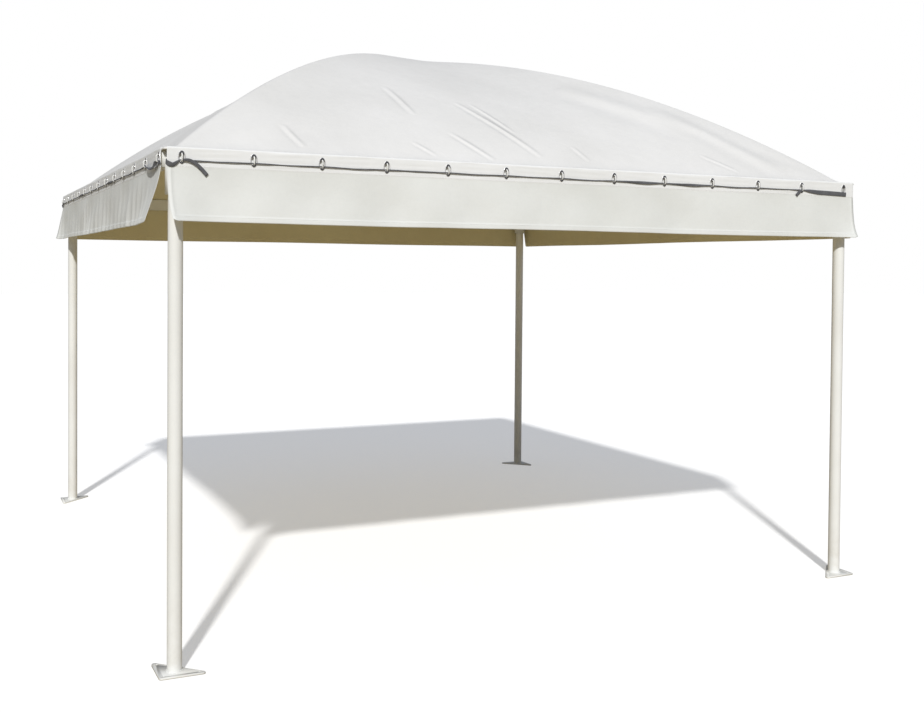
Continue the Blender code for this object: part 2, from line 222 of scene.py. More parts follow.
def mixed(tree, share, first, second):
    """A colour between two others, by a share from 0 to 1."""
    node = add(tree, "ShaderNodeMix", data_type="RGBA")
    tree.links.new(share, node.inputs[0])
    for socket, value in ((node.inputs[6], first), (node.inputs[7], second)):
        if isinstance(value, bpy.types.NodeSocket):
            tree.links.new(value, socket)
        else:
            socket.default_value = (*value, 1.0)
    return node.outputs[2]


def noise(tree, place, scale, detail=2.0, roughness=0.5):
    return add(tree, "ShaderNodeTexNoise", {"Vector": place, "Scale": scale, "Detail": detail,
                                            "Roughness": roughness}).outputs["Fac"]


def spread(tree, value, low, high, to_low=0.0, to_high=1.0):
    return add(tree, "ShaderNodeMapRange", {"Value": value, "From Min": low, "From Max": high,
                                            "To Min": to_low, "To Max": to_high}).outputs["Result"]


def maths(tree, operation, first, second):
    node = add(tree, "ShaderNodeMath", operation=operation)
    for socket, value in zip(node.inputs, (first, second)):
        if isinstance(value, bpy.types.NodeSocket):
            tree.links.new(value, socket)
        else:
            socket.default_value = value
    return node.outputs[0]


def bump(tree, height, strength, distance, under=None):
    inputs = {"Height": height, "Strength": strength, "Distance": distance}
    if under is not None:
        inputs["Normal"] = under
    return add(tree, "ShaderNodeBump", inputs).outputs["Normal"]


def weave(tree, place, period):
    """Warp and weft threads that show in turn, from a place on the flat cut in metres."""
    scale = 2 * math.pi / (20 * period)
    warp = add(tree, "ShaderNodeTexWave", {"Vector": place, "Scale": scale, "Distortion": 0.4,
                                           "Detail Scale": 1.0}, bands_direction="X")
    weft = add(tree, "ShaderNodeTexWave", {"Vector": place, "Scale": scale, "Distortion": 0.4,
                                           "Detail Scale": 1.0}, bands_direction="Y")
    return maths(tree, "MULTIPLY", warp.outputs["Fac"], weft.outputs["Fac"])


def cloth_finish(name, clean, soiled, roughness, doubled=0.0):
    """Coated awning cloth: a fine weave under the coating, soft crinkles, faint dust in patches.

    It is a little whiter where it is doubled, up to a height on its flat cut.
    """
    finish, tree, shader = new_finish(name, clean, roughness)
    cut = add(tree, "ShaderNodeUVMap", uv_map="Cut").outputs["UV"]
    place = add(tree, "ShaderNodeTexCoord").outputs["Object"]
    patches = spread(tree, noise(tree, place, 1.3, 5.0, 0.6), 0.35, 0.75)
    flecks = spread(tree, noise(tree, cut, 60.0, 3.0, 0.7), 0.45, 0.9, 0.0, 0.35)
    share = add(tree, "ShaderNodeClamp", {"Value": maths(tree, "ADD", patches, flecks)}).outputs[0]
    colour = mixed(tree, share, clean, soiled)
    if doubled:
        height = add(tree, "ShaderNodeSeparateXYZ", {"Vector": cut}).outputs["Y"]
        colour = mixed(tree, spread(tree, height, doubled - 0.004, doubled + 0.004, 0.75, 0.0), colour, (0.86, 0.86, 0.86))
    tree.links.new(colour, shader.inputs["Base Color"])
    crinkle = bump(tree, noise(tree, cut, 7.0, 4.0, 0.55), 0.45, 0.006)
    threads = bump(tree, weave(tree, cut, 0.0022), 0.25, 0.0004, crinkle)
    tree.links.new(threads, shader.inputs["Normal"])
    tree.links.new(spread(tree, noise(tree, cut, 25.0, 3.0), 0.3, 0.7, roughness - 0.08, roughness + 0.08),
                   shader.inputs["Roughness"])
    return finish


def webbing_finish(name, dark, light):
    """Woven strap: slanting twill ribs along its length, paler where it has chafed."""
    finish, tree, shader = new_finish(name, dark, 0.8)
    cut = add(tree, "ShaderNodeUVMap", uv_map="Cut").outputs["UV"]
    twill = add(tree, "ShaderNodeTexWave", {"Vector": cut, "Scale": 2 * math.pi / (20 * 0.0035),
                                            "Distortion": 0.6}, bands_direction="DIAGONAL").outputs["Fac"]
    chafed = spread(tree, noise(tree, cut, 30.0, 4.0, 0.65), 0.42, 0.75)
    ribs = mixed(tree, maths(tree, "MULTIPLY", twill, 0.45), dark, light)
    tree.links.new(mixed(tree, maths(tree, "MULTIPLY", chafed, 0.5), ribs, light),
                   shader.inputs["Base Color"])
    tree.links.new(bump(tree, twill, 0.6, 0.0006), shader.inputs["Normal"])
    return finish


def paint_finish(name, colour, dust, worn):
    """Powder coat on steel: faint orange peel, dust from the ground up, small scuffs."""
    finish, tree, shader = new_finish(name, colour, 0.38)
    place = add(tree, "ShaderNodeTexCoord").outputs["Object"]
    height = add(tree, "ShaderNodeSeparateXYZ", {"Vector": place}).outputs["Z"]
    low = spread(tree, height, 0.0, 0.45, 0.55, 0.0)
    mottle = spread(tree, noise(tree, place, 14.0, 5.0, 0.65), 0.35, 0.7)
    dusty = mixed(tree, maths(tree, "MULTIPLY", low, mottle), colour, dust)
    tone = mixed(tree, spread(tree, noise(tree, place, 3.0, 3.0), 0.35, 0.8, 0.0, 0.35), dusty, dust)
    scuffs = spread(tree, noise(tree, place, 55.0, 6.0, 0.8), 0.70, 0.74)
    tree.links.new(mixed(tree, maths(tree, "MULTIPLY", scuffs, 0.6), tone, worn),
                   shader.inputs["Base Color"])
    tree.links.new(spread(tree, mottle, 0.0, 1.0, 0.30, 0.48), shader.inputs["Roughness"])
    peel = bump(tree, noise(tree, place, 380.0, 2.0), 0.12, 0.0006)
    tree.links.new(bump(tree, scuffs, 0.25, -0.0006, peel), shader.inputs["Normal"])
    return finish


def metal_finish(name, colour, stain):
    """Plated eyelet metal, pale and a little dulled."""
    finish, tree, shader = new_finish(name, colour, 0.36, 0.35)
    place = add(tree, "ShaderNodeTexCoord").outputs["Object"]
    spots = spread(tree, noise(tree, place, 90.0, 4.0, 0.7), 0.4, 0.75)
    tree.links.new(mixed(tree, spots, colour, stain), shader.inputs["Base Color"])
    tree.links.new(spread(tree, spots, 0.0, 1.0, 0.20, 0.45), shader.inputs["Roughness"])
    tree.links.new(bump(tree, noise(tree, place, 300.0, 2.0), 0.1, 0.0003), shader.inputs["Normal"])
    return finish


def thread_finish(name, colour, shade):
    """Sewing thread, twisted and slightly grey. Made dark, the same finish is the painted shade at the eyelets."""
    finish, tree, shader = new_finish(name, colour, 0.7)
    place = add(tree, "ShaderNodeTexCoord").outputs["Object"]
    twist = noise(tree, place, 900.0, 2.0)
    tree.links.new(mixed(tree, spread(tree, twist, 0.3, 0.7), colour, shade), shader.inputs["Base Color"])
    tree.links.new(bump(tree, twist, 0.4, 0.0002), shader.inputs["Normal"])
    return finish


ROOF_WHITE = cloth_finish("roof_white", (0.805, 0.80, 0.79), (0.735, 0.73, 0.715), 0.56, doubled=HEM_ALLOWANCE)
BAND_WHITE = cloth_finish("band_white", (0.86, 0.87, 0.88), (0.81, 0.82, 0.82), 0.56)
VALANCE_WHITE = cloth_finish("valance_white", (0.785, 0.80, 0.79), (0.715, 0.73, 0.71), 0.60)
# Inner faces of all the cloth: the tan colour is painted shade, the warm dim light under the roof painted into the
# cloth's inner colour.
LINING_PAINTED_SHADE = cloth_finish("lining_painted_shade", (0.78, 0.71, 0.47), (0.70, 0.62, 0.40), 0.75)
STRAP_GREY = webbing_finish("strap_grey", (0.070, 0.073, 0.085), (0.19, 0.19, 0.20))
WHITE_PAINT = paint_finish("white_paint", (0.87, 0.88, 0.87), (0.66, 0.64, 0.58), (0.45, 0.44, 0.42))
NICKEL = metal_finish("nickel", (0.86, 0.86, 0.87), (0.62, 0.61, 0.60))
# Dark painted shade for the bows at each eyelet, made with the thread finish.
EYELET_PAINTED_SHADE = thread_finish("eyelet_shade_paint", (0.045, 0.045, 0.055), (0.080, 0.080, 0.090))
WHITE_THREAD = thread_finish("white_thread", (0.82, 0.82, 0.81), (0.70, 0.70, 0.69))


# Node trees for what repeats.

def new_tree(name, inputs):
    """An empty tree with named inputs, given as name, kind and default value."""
    tree = bpy.data.node_groups.new(name, "GeometryNodeTree")
    tree.interface.new_socket("Geometry", in_out="INPUT", socket_type="NodeSocketGeometry")
    for label, kind, value in inputs:
        socket = tree.interface.new_socket(label, in_out="INPUT", socket_type=kind)
        socket.default_value = value
    tree.interface.new_socket("Finish", in_out="INPUT", socket_type="NodeSocketMaterial")
    tree.interface.new_socket("Geometry", in_out="OUTPUT", socket_type="NodeSocketGeometry")
    return tree, add(tree, "NodeGroupInput")


def close_tree(tree, entry, geometry):
    """Ends a tree: real geometry, smooth, with its finish."""
    real = add(tree, "GeometryNodeRealizeInstances", {"Geometry": geometry})
    smooth = add(tree, "GeometryNodeSetShadeSmooth", {"Geometry": real.outputs[0]})
    dressed = add(tree, "GeometryNodeSetMaterial", {"Geometry": smooth.outputs[0],
                                                    "Material": entry.outputs["Finish"]})
    add(tree, "NodeGroupOutput", {"Geometry": dressed.outputs[0]})
    return tree


def row_tree():
    """Repeats the given piece in a straight row along X."""
    tree, entry = new_tree("row", (("Number", "NodeSocketInt", 2), ("First", "NodeSocketFloat", 0.0),
                                   ("Pitch", "NodeSocketFloat", 1.0)))
    start = add(tree, "ShaderNodeCombineXYZ", {"X": entry.outputs["First"]})
    step = add(tree, "ShaderNodeCombineXYZ", {"X": entry.outputs["Pitch"]})
    line = add(tree, "GeometryNodeMeshLine", {"Count": entry.outputs["Number"],
                                              "Start Location": start.outputs[0],
                                              "Offset": step.outputs[0]})
    copies = add(tree, "GeometryNodeInstanceOnPoints", {"Points": line.outputs[0],
                                                        "Instance": entry.outputs["Geometry"]})
    return close_tree(tree, entry, copies.outputs[0])


def bead_tree():
    """Lays small long beads end to end along a line of edges: stitches, or the ripples of a weld."""
    tree, entry = new_tree("beads", (("Pitch", "NodeSocketFloat", 0.01), ("Length", "NodeSocketFloat", 0.008),
                                     ("Thickness", "NodeSocketFloat", 0.001)))
    curve = add(tree, "GeometryNodeMeshToCurve", {"Mesh": entry.outputs["Geometry"]})
    steps = add(tree, "GeometryNodeResampleCurve", {"Curve": curve.outputs[0],
                                                    "Length": entry.outputs["Pitch"]}, mode="LENGTH")
    bead = add(tree, "GeometryNodeMeshUVSphere", {"Segments": 6, "Rings": 4, "Radius": 0.5})
    tangent = add(tree, "GeometryNodeInputTangent")
    turn = add(tree, "FunctionNodeAlignRotationToVector", {"Vector": tangent.outputs[0]}, axis="Z")
    size = add(tree, "ShaderNodeCombineXYZ", {"X": entry.outputs["Thickness"],
                                              "Y": entry.outputs["Thickness"],
                                              "Z": entry.outputs["Length"]})
    beads = add(tree, "GeometryNodeInstanceOnPoints", {"Points": steps.outputs[0],
                                                       "Instance": bead.outputs["Mesh"],
                                                       "Rotation": turn.outputs[0],
                                                       "Scale": size.outputs[0]})
    return close_tree(tree, entry, beads.outputs[0])


def tube_tree():
    """A round tube along a line of edges, closed at both ends."""
    tree, entry = new_tree("tube", (("Radius", "NodeSocketFloat", 0.02), ("Sides", "NodeSocketInt", 32)))
    curve = add(tree, "GeometryNodeMeshToCurve", {"Mesh": entry.outputs["Geometry"]})
    ring = add(tree, "GeometryNodeCurvePrimitiveCircle", {"Resolution": entry.outputs["Sides"],
                                                          "Radius": entry.outputs["Radius"]})
    tube = add(tree, "GeometryNodeCurveToMesh", {"Curve": curve.outputs[0],
                                                 "Profile Curve": ring.outputs[0], "Fill Caps": True})
    return close_tree(tree, entry, tube.outputs[0])


ROW = row_tree()
BEADS = bead_tree()
TUBE = tube_tree()


def grown(name, mesh, tree, values, finish):
    """The plain mesh that a tree makes from a mesh, with its named inputs set."""
    holder = link_object(name + "_seed", mesh)
    maker = holder.modifiers.new("maker", "NODES")
    maker.node_group = tree
    sockets = {item.name: item.identifier for item in tree.interface.items_tree
               if item.in_out == "INPUT"}
    for label, value in {**values, "Finish": finish}.items():
        maker[sockets[label]] = value
    return finished(holder, name)


def line_mesh(points, closed=False):
    mesh = bpy.data.meshes.new("line")
    count = len(points)
    edges = [(k, k + 1) for k in range(count - 1)]
    if closed:
        edges.append((count - 1, 0))
    mesh.from_pydata([tuple(point) for point in points], edges, [])
    return mesh


# The roof cloth.

def roof_height(inset):
    """Top of the roof over a rib, by the distance in from the edge of the frame."""
    rising = np.clip((inset - ROOF_LEAD) / (FRAME_HALF - ROOF_LEAD), 0.0, 1.0)
    return ROOF_EDGE + ROOF_RISE * (1.0 - (1.0 - rising) ** ROOF_POWER)


def slope_creases(side, draw):
    """The creases of one slope, drawn by chance. The front slope's are listed, in its finish."""
    creases = []
    if side == "front":
        return creases
    for _ in range(CREASES_PER_SLOPE):
        top = draw.uniform(0.25, 0.95)
        along = draw.uniform(-1.0, 1.0) * (1.75 - top)
        drift = draw.uniform(-0.1, 0.35) * top
        creases.append(((along, top), (along + drift, 0.10), draw.uniform(0.014, 0.022),
                        draw.uniform(0.002, 0.0045)))
    return creases


def slope_relief(along, inset, creases, waves):
    """How far a slope of the roof stands off its plain form: creases, soft waves, pulled corners."""
    relief = np.zeros_like(along)
    for (x0, i0), (x1, i1), width, height in creases:
        run_x, run_i = x1 - x0, i1 - i0
        length = math.hypot(run_x, run_i)
        share = ((along - x0) * run_x + (inset - i0) * run_i) / length ** 2
        aside = ((along - x0) * run_i - (inset - i0) * run_x) / length
        body = np.sin(np.pi * np.clip(share, 0.0, 1.0)) ** 0.8
        relief += CREASE_DEPTH * height * body * (np.exp(-(aside / width) ** 2)
                                                  - 0.45 * np.exp(-((aside - 2 * width) / width) ** 2))
    half = FRAME_HALF - inset
    from_rib = np.clip((half - np.abs(along)) / 0.35, 0.0, 1.0)
    from_edge = np.clip(inset / 0.15, 0.0, 1.0)
    for wave_x, wave_i, phase, height in waves:
        relief += height * from_rib * from_edge * np.sin(wave_x * along + wave_i * inset + phase)
    for end in (-1.0, 1.0):
        reach = FRAME_HALF - end * along
        distance = np.hypot(reach, inset)
        angle = np.arctan2(inset, np.maximum(reach, 1e-6))
        fan = np.sin(19.0 * angle + 0.6 * end) * np.sin(np.clip(angle * 4, 0.0, np.pi))
        relief += 0.0050 * fan * np.exp(-distance / 0.9) * np.clip(distance / 0.15, 0.0, 1.0)
    pull = np.cos(2 * np.pi * (along - EYELET_FIRST) / EYELET_PITCH)
    relief -= 0.0022 * pull * np.exp(-(inset / 0.11) ** 2) * np.clip(inset / 0.03, 0.0, 1.0)
    return relief


def ring_columns(half):
    """The columns of one side of a ring, as places on the front side, with its left corner rounded."""
    arc = min(RIDGE_ROUND, 0.4 * half)
    bend = np.radians([45.0, 22.5])
    left = np.stack([-(half - arc) - arc * np.sin(bend), -(half - arc) - arc * np.cos(bend)], -1)
    straight = np.linspace(-(half - arc), half - arc, ROOF_COLUMNS - 3)
    middle = np.stack([straight, np.full_like(straight, -half)], -1)
    right = np.array([[(half - arc) + arc * math.sin(bend[1]), -(half - arc) - arc * math.cos(bend[1])]])
    return np.concatenate([left, middle, right])


def roof_points():
    """Rows of points of the roof, from the lower edge of its skirt to near the crown."""
    draw = np.random.default_rng(11)
    insets = FRAME_HALF * (1.0 - (1.0 - np.linspace(0.003, 0.988, ROOF_ROWS)) ** 1.12)
    rows, flats = [], []
    looks = []
    for side in SIDES:
        waves = [(draw.uniform(4, 9), draw.uniform(-4, 4), draw.uniform(0, 6.28), draw.uniform(0.0008, 0.0022))
                 for _ in range(5)]
        looks.append((slope_creases(side, draw), waves))
    steps = [(-out, height, None) for out, height in SKIRT] + [(inset, None, inset) for inset in insets]
    climb = 0.0
    before = None
    for shift, fixed, inset in steps:
        plan = ring_columns(FRAME_HALF - shift)
        row, flat = [], []
        for turns, (creases, waves) in enumerate(looks):
            if inset is None:
                height = np.full(len(plan), fixed)
            else:
                half = FRAME_HALF - inset
                across = plan[:, 0] / half
                sag = ROOF_SAG * (1.0 - np.clip(across, -1, 1) ** 2) * math.sin(math.pi * inset / FRAME_HALF) ** 2
                own = np.full(len(plan), inset)
                height = roof_height(inset) - sag + slope_relief(plan[:, 0], own, creases, waves)
            row.append(quarter(np.column_stack([plan, height]), turns))
        middle = row[0][len(plan) // 2]
        if before is not None:
            climb += float(np.linalg.norm(middle - before))
        before = middle
        for turns in range(4):
            flat.append(np.column_stack([plan[:, 0] + 5.0 * turns, np.full(len(plan), climb)]))
        end = np.array([[-plan[0, 0] + 15.0, climb]])
        rows.append(np.concatenate(row))
        flats.append(np.concatenate(flat + [end]))
    return np.array(rows), np.array(flats)


def climb_at(inset):
    """Height on the flat cut of the roof, up the middle of a slope, of a distance in from the edge."""
    inset = np.linspace(0.0, inset, 400)
    height = roof_height(inset) - ROOF_SAG * np.sin(np.pi * inset / FRAME_HALF) ** 2
    return 0.0125 + float(np.sum(np.hypot(np.diff(inset), np.diff(height))))


def crease_group():
    """Height of one crease at a place on the flat cut: a ridge with a shallow trough beside it."""
    tree = bpy.data.node_groups.new("crease", "ShaderNodeTree")
    for label, kind in (("Place", "NodeSocketVector"), ("Start", "NodeSocketVector"), ("Run", "NodeSocketVector"),
                        ("Width", "NodeSocketFloat"), ("Height", "NodeSocketFloat")):
        tree.interface.new_socket(label, in_out="INPUT", socket_type=kind)
    tree.interface.new_socket("Relief", in_out="OUTPUT", socket_type="NodeSocketFloat")
    entry = add(tree, "NodeGroupInput").outputs
    from_start = add(tree, "ShaderNodeVectorMath", {0: entry["Place"], 1: entry["Start"]}, operation="SUBTRACT").outputs[0]
    along = add(tree, "ShaderNodeVectorMath", {0: from_start, 1: entry["Run"]}, operation="DOT_PRODUCT").outputs["Value"]
    square = add(tree, "ShaderNodeVectorMath", {0: entry["Run"], 1: entry["Run"]}, operation="DOT_PRODUCT").outputs["Value"]
    share = add(tree, "ShaderNodeClamp", {"Value": maths(tree, "DIVIDE", along, square)}).outputs[0]
    body = maths(tree, "POWER", maths(tree, "SINE", maths(tree, "MULTIPLY", share, math.pi), 0.0), 0.6)
    crossed = add(tree, "ShaderNodeVectorMath", {0: from_start, 1: entry["Run"]}, operation="CROSS_PRODUCT").outputs[0]
    aside = add(tree, "ShaderNodeSeparateXYZ", {"Vector": crossed}).outputs["Z"]
    widths = maths(tree, "DIVIDE", maths(tree, "DIVIDE", aside, maths(tree, "SQRT", square, 0.0)), entry["Width"])
    lobes = []
    for shift, size in ((0.0, 1.0), (-2.0, -0.45)):
        off = maths(tree, "ADD", widths, shift)
        lobes.append(maths(tree, "MULTIPLY", maths(tree, "EXPONENT", maths(
            tree, "MULTIPLY", maths(tree, "MULTIPLY", off, off), -1.0), 0.0), size))
    profile = maths(tree, "MULTIPLY", maths(tree, "ADD", *lobes), body)
    add(tree, "NodeGroupOutput", {"Relief": maths(tree, "MULTIPLY", profile, entry["Height"])})
    return tree


def crease_finish(finish, creases):
    """Puts creases into a cloth finish, above its own relief."""
    tree = finish.node_tree
    shader = tree.nodes["Principled BSDF"]
    under = shader.inputs["Normal"].links[0].from_socket
    cut = add(tree, "ShaderNodeUVMap", uv_map="Cut").outputs["UV"]
    group, total = crease_group(), 0.0
    for (x0, inset0), (x1, inset1), width, height in creases:
        start, end = Vector((x0, climb_at(inset0), 0.0)), Vector((x1, climb_at(inset1), 0.0))
        node = tree.nodes.new("ShaderNodeGroup")
        node.node_tree = group
        tree.links.new(cut, node.inputs["Place"])
        node.inputs["Start"].default_value = start
        node.inputs["Run"].default_value = end - start
        node.inputs["Width"].default_value = width
        node.inputs["Height"].default_value = height
        total = maths(tree, "ADD", node.outputs["Relief"], total)
    tree.links.new(bump(tree, total, 1.0, CREASE_DEPTH, under), shader.inputs["Normal"])


def make_roof():
    points, flat = roof_points()
    mesh = grid_mesh("roof_cloth", points, flat, closed=True)
    shape = bmesh.new()
    shape.from_mesh(mesh)
    shape.verts.ensure_lookup_table()
    columns = points.shape[1]
    top = [shape.verts[(points.shape[0] - 1) * columns + k] for k in range(columns)]
    crown = shape.verts.new((0.0, 0.0, ROOF_EDGE + ROOF_RISE))
    for k in range(columns):
        shape.faces.new((top[k], top[(k + 1) % columns], crown))
    shape.to_mesh(mesh)
    shape.free()
    crease_finish(ROOF_WHITE, FRONT_CREASES)
    return thicken("roof_cloth", mesh, CLOTH_THICK, ROOF_WHITE, LINING_PAINTED_SHADE)


# The hem bands, with their eyelets.

def band_columns(start_end, last_end):
    """Places along a band, close together at each eyelet, and which eyelet each belongs to."""
    places, owners = [start_end, start_end + 0.003], [None, None]
    for number, middle in enumerate(EYELETS):
        start, before = middle - WINDOW_HALF, places[-1]
        fill = max(1, round((start - before) / 0.02))
        for k in range(1, fill):
            places.append(before + (start - before) * k / fill)
            owners.append(None)
        for k in range(-4, 5):
            places.append(middle + WINDOW_HALF * k / 4)
            owners.append((number, k))
    places += [last_end - 0.003, last_end]
    owners += [None, None]
    return np.array(places), owners


def make_band(side, turns):
    """One hem band: doubled cloth with oval holes, folded over the edge of the beam."""
    draw = np.random.default_rng(40 + turns)
    along, owners = band_columns(*CLOTH_ENDS[side])
    out = np.array([row[0] for row in BAND_ROWS])[:, None] * np.ones((1, len(along)))
    high = np.array([row[1] for row in BAND_ROWS])[:, None] * np.ones((1, len(along)))
    wide = np.ones((len(BAND_ROWS), 1)) * along[None, :]
    calm = np.min(np.abs(along[:, None] - np.array(EYELETS)[None, :]), 1)
    free = np.clip((calm - WINDOW_HALF) / 0.06, 0.0, 1.0)
    phases = draw.uniform(0, 6.28, 4)
    ripple = 0.0010 * np.sin(11 * along + phases[0]) + 0.0008 * np.sin(23 * along + phases[1])
    out[5:14] += (free * ripple)[None, :]
    fold = 0.0007 * np.sin((high[2:14] - 2.24) * 260 + 6 * np.sin(1.7 * along + phases[2])[None, :])
    out[5:14] += fold[3:] * free[None, :]
    high[:3] += (0.0008 * np.sin(5 * along + phases[3]))[None, :]
    for column, owner in enumerate(owners):
        if owner is None:
            continue
        number, across = owner
        for up in range(-4, 5):
            far = max(abs(across), abs(up))
            if far < 2:
                continue
            angle = math.atan2(up, across)
            rim_x, rim_z = HOLE_HALF_WIDTH * math.cos(angle), HOLE_HALF_HEIGHT * math.sin(angle)
            edge_x, edge_z = WINDOW_HALF * across / far, 0.032 * up / far
            share = (far - 2) / 2
            wide[WINDOW_ROW + up, column] = EYELETS[number] + rim_x + (edge_x - rim_x) * share
            high[WINDOW_ROW + up, column] = LACE_HEIGHT + rim_z + (edge_z - rim_z) * share
    points = np.stack([wide, -FRAME_HALF - out, high], -1)
    flat = np.stack([wide + 5.0 * turns, high + 3.0], -1)

    def in_hole(row, column):
        owner = owners[column]
        return (owner is not None and owners[column + 1] is not None and -2 <= owner[1] < 2
                and -2 <= row - WINDOW_ROW < 2)

    mesh = grid_mesh("hem", quarter(points, turns), flat, removed=in_hole)
    shape = bmesh.new()
    shape.from_mesh(mesh)
    bmesh.ops.delete(shape, geom=[vertex for vertex in shape.verts if not vertex.link_faces], context="VERTS")
    shape.to_mesh(mesh)
    shape.free()
    return thicken("hem_band_" + side + "_cloth", mesh, 2 * CLOTH_THICK, BAND_WHITE, LINING_PAINTED_SHADE)


def grommet_mesh():
    """One oval eyelet: a rolled rim outside, a short neck through the cloth, and a flange behind."""
    front, back = -FRAME_HALF - 0.0044, -FRAME_HALF + 0.0010
    section = ((0.0, back), (0.0, front + 0.001), (0.0006, front - 0.0010), (0.0020, front - 0.0022),
               (0.0040, front - 0.0026), (0.0060, front - 0.0020), (GROMMET_RIM, front - 0.0006),
               (GROMMET_RIM + 0.0003, front + 0.0006), (0.0012, front + 0.0010), (0.0012, back),
               (0.0040, back + 0.0004), (0.0038, back + 0.0012), (0.0004, back + 0.0012))
    steps = 28
    shape = bmesh.new()
    rings = []
    for step in range(steps):
        angle = 2 * math.pi * step / steps
        ring = []
        for wide, depth in section:
            ring.append(shape.verts.new(((HOLE_HALF_WIDTH + wide) * math.cos(angle), depth,
                                         LACE_HEIGHT + (HOLE_HALF_HEIGHT + wide) * math.sin(angle))))
        rings.append(ring)
    count = len(section)
    for step in range(steps):
        ring, after = rings[step], rings[(step + 1) % steps]
        for k in range(count):
            shape.faces.new((ring[k], ring[(k + 1) % count], after[(k + 1) % count], after[k]))
    bmesh.ops.recalc_face_normals(shape, faces=shape.faces)
    mesh = bpy.data.meshes.new("grommet")
    shape.to_mesh(mesh)
    shape.free()
    return mesh


def eyelet_shade_mesh():
    """Painted shade at the head and foot of one eyelet, as two flat dark bows on its rim: the shadow in the top of the
    hole and the strap's shadow below it.
    """
    front, back = -FRAME_HALF - 0.0078, -FRAME_HALF - 0.0060
    shape = bmesh.new()
    for first, last, inner, outer in EYELET_SHADE_BOWS:
        rings = []
        for step in range(13):
            angle = math.radians(first + (last - first) * step / 12)
            thin = math.sin(math.pi * (step + 1.5) / 15)
            middle, half = (inner + outer) / 2, (outer - inner) / 2 * thin
            rings.append([shape.verts.new(((HOLE_HALF_WIDTH + middle + reach) * math.cos(angle), depth,
                                           LACE_HEIGHT + (HOLE_HALF_HEIGHT + middle + reach) * math.sin(angle)))
                          for depth, reach in ((front, -half), (front, half), (back, half), (back, -half))])
        for ring, after in zip(rings, rings[1:]):
            for k in range(4):
                shape.faces.new((ring[k], ring[(k + 1) % 4], after[(k + 1) % 4], after[k]))
        shape.faces.new(rings[0])
        shape.faces.new(rings[-1])
    bmesh.ops.recalc_face_normals(shape, faces=shape.faces)
    mesh = bpy.data.meshes.new("mark")
    shape.to_mesh(mesh)
    shape.free()
    return mesh


def turned_piece(piece, turns):
    piece.data.transform(Matrix.Rotation(turns * math.pi / 2, 4, "Z"))
    return piece


def make_eyelets(side, turns):
    row = {"Number": EYELET_COUNT, "First": EYELET_FIRST, "Pitch": EYELET_PITCH}
    return (turned_piece(grown("eyelets_" + side, grommet_mesh(), ROW, row, NICKEL), turns),
            turned_piece(grown("eyelet_painted_shade_" + side, eyelet_shade_mesh(), ROW, row, EYELET_PAINTED_SHADE), turns))


# The valances.

def valance_form(side, turns):
    """How far out a valance hangs at each place, as a function of place along and share of its fall."""
    shape = VALANCE_SHAPES[side]
    left_end, right_end = CLOTH_ENDS[side]
    draw = np.random.default_rng(70 + turns)
    pleats = shape["pleats"]
    spacing = (right_end - left_end) / pleats
    folds = [(left_end + spacing * (k + 0.5) + draw.uniform(-0.35, 0.35) * spacing,
              spacing * draw.uniform(0.16, 0.34), shape["depth"] * draw.uniform(0.4, 1.5),
              draw.uniform(-0.03, 0.03), draw.uniform(0.6, 1.4)) for k in range(pleats)]
    sways = [(draw.uniform(3, 16), draw.uniform(-4, 4), draw.uniform(0, 6.28), draw.uniform(0.4, 1.2)) for _ in range(6)]

    def out(along, fall):
        total = np.zeros(np.broadcast(along, fall).shape)
        for middle, width, height, lean, power in folds:
            aside = (along - middle - lean * fall) / width
            total += height * np.exp(-aside ** 2) * fall ** power
        for wave, tilt, phase, height in sways:
            total += 0.0030 * height * np.sin(wave * along + tilt * fall + phase) * np.sin(np.pi * fall / 1.25)
        total += 0.0044 + 0.004 * fall
        total += shape["swing"] * fall ** 1.4
        for (flare, reach, _, late), aside in ((shape["left"], along - left_end), (shape["right"], right_end - along)):
            total += flare * np.clip(1.0 - aside / reach, 0.0, 1.0) ** 2 * fall ** late
        return total

    def drawn_in(along, fall):
        moved = np.zeros(np.broadcast(along, fall).shape)
        for sign, (_, reach, draw_in, late), aside in ((1, shape["left"], along - left_end),
                                                       (-1, shape["right"], right_end - along)):
            moved += sign * draw_in * np.clip(1.0 - aside / (1.5 * reach), 0.0, 1.0) * fall ** late
        return moved

    def low(along):
        close = np.clip(1.0 - np.minimum(along - left_end, right_end - along) / 0.025, 0.0, 1.0)
        return VALANCE_LOW + 0.0016 * np.sin(3.1 * along + sways[0][2]) + 0.0014 + 0.007 * close ** 2

    return out, drawn_in, low


def make_valance(side, turns):
    """A hanging valance, hemmed along its lower edge and its two free ends."""
    out, drawn_in, low = valance_form(side, turns)
    left_end, right_end = CLOTH_ENDS[side]
    hem = 0.018
    along = np.unique(np.concatenate([
        np.linspace(left_end, right_end, VALANCE_COLUMNS),
        [left_end + hem, left_end + hem + 0.001, right_end - hem - 0.001, right_end - hem]]))
    shares = np.concatenate([[0.0, 0.02, 0.06, 0.102, 0.106], np.linspace(0.13, 0.93, VALANCE_ROWS - 7), [0.968, 1.0]])
    bottom = low(along)[None, :]
    high = bottom + (VALANCE_TOP - bottom) * shares[:, None]
    fall = np.clip((VALANCE_SEAM - high) / (VALANCE_SEAM - VALANCE_LOW), 0.0, 1.0)
    wide = np.ones((len(shares), 1)) * along[None, :]
    outward = out(wide, fall)
    hemmed = (shares[:, None] <= 0.103) | (wide <= left_end + hem + 1e-6) | (wide >= right_end - hem - 1e-6)
    outward = outward + np.where(hemmed & (fall > 0.02), 0.0006, 0.0)
    points = np.stack([wide + drawn_in(wide, fall), -FRAME_HALF - outward, high], -1)
    flat = np.stack([wide + 5.0 * turns, high], -1)
    mesh = grid_mesh("valance", quarter(points, turns), flat)
    return thicken("valance_" + side + "_cloth", mesh, CLOTH_THICK, VALANCE_WHITE, LINING_PAINTED_SHADE)


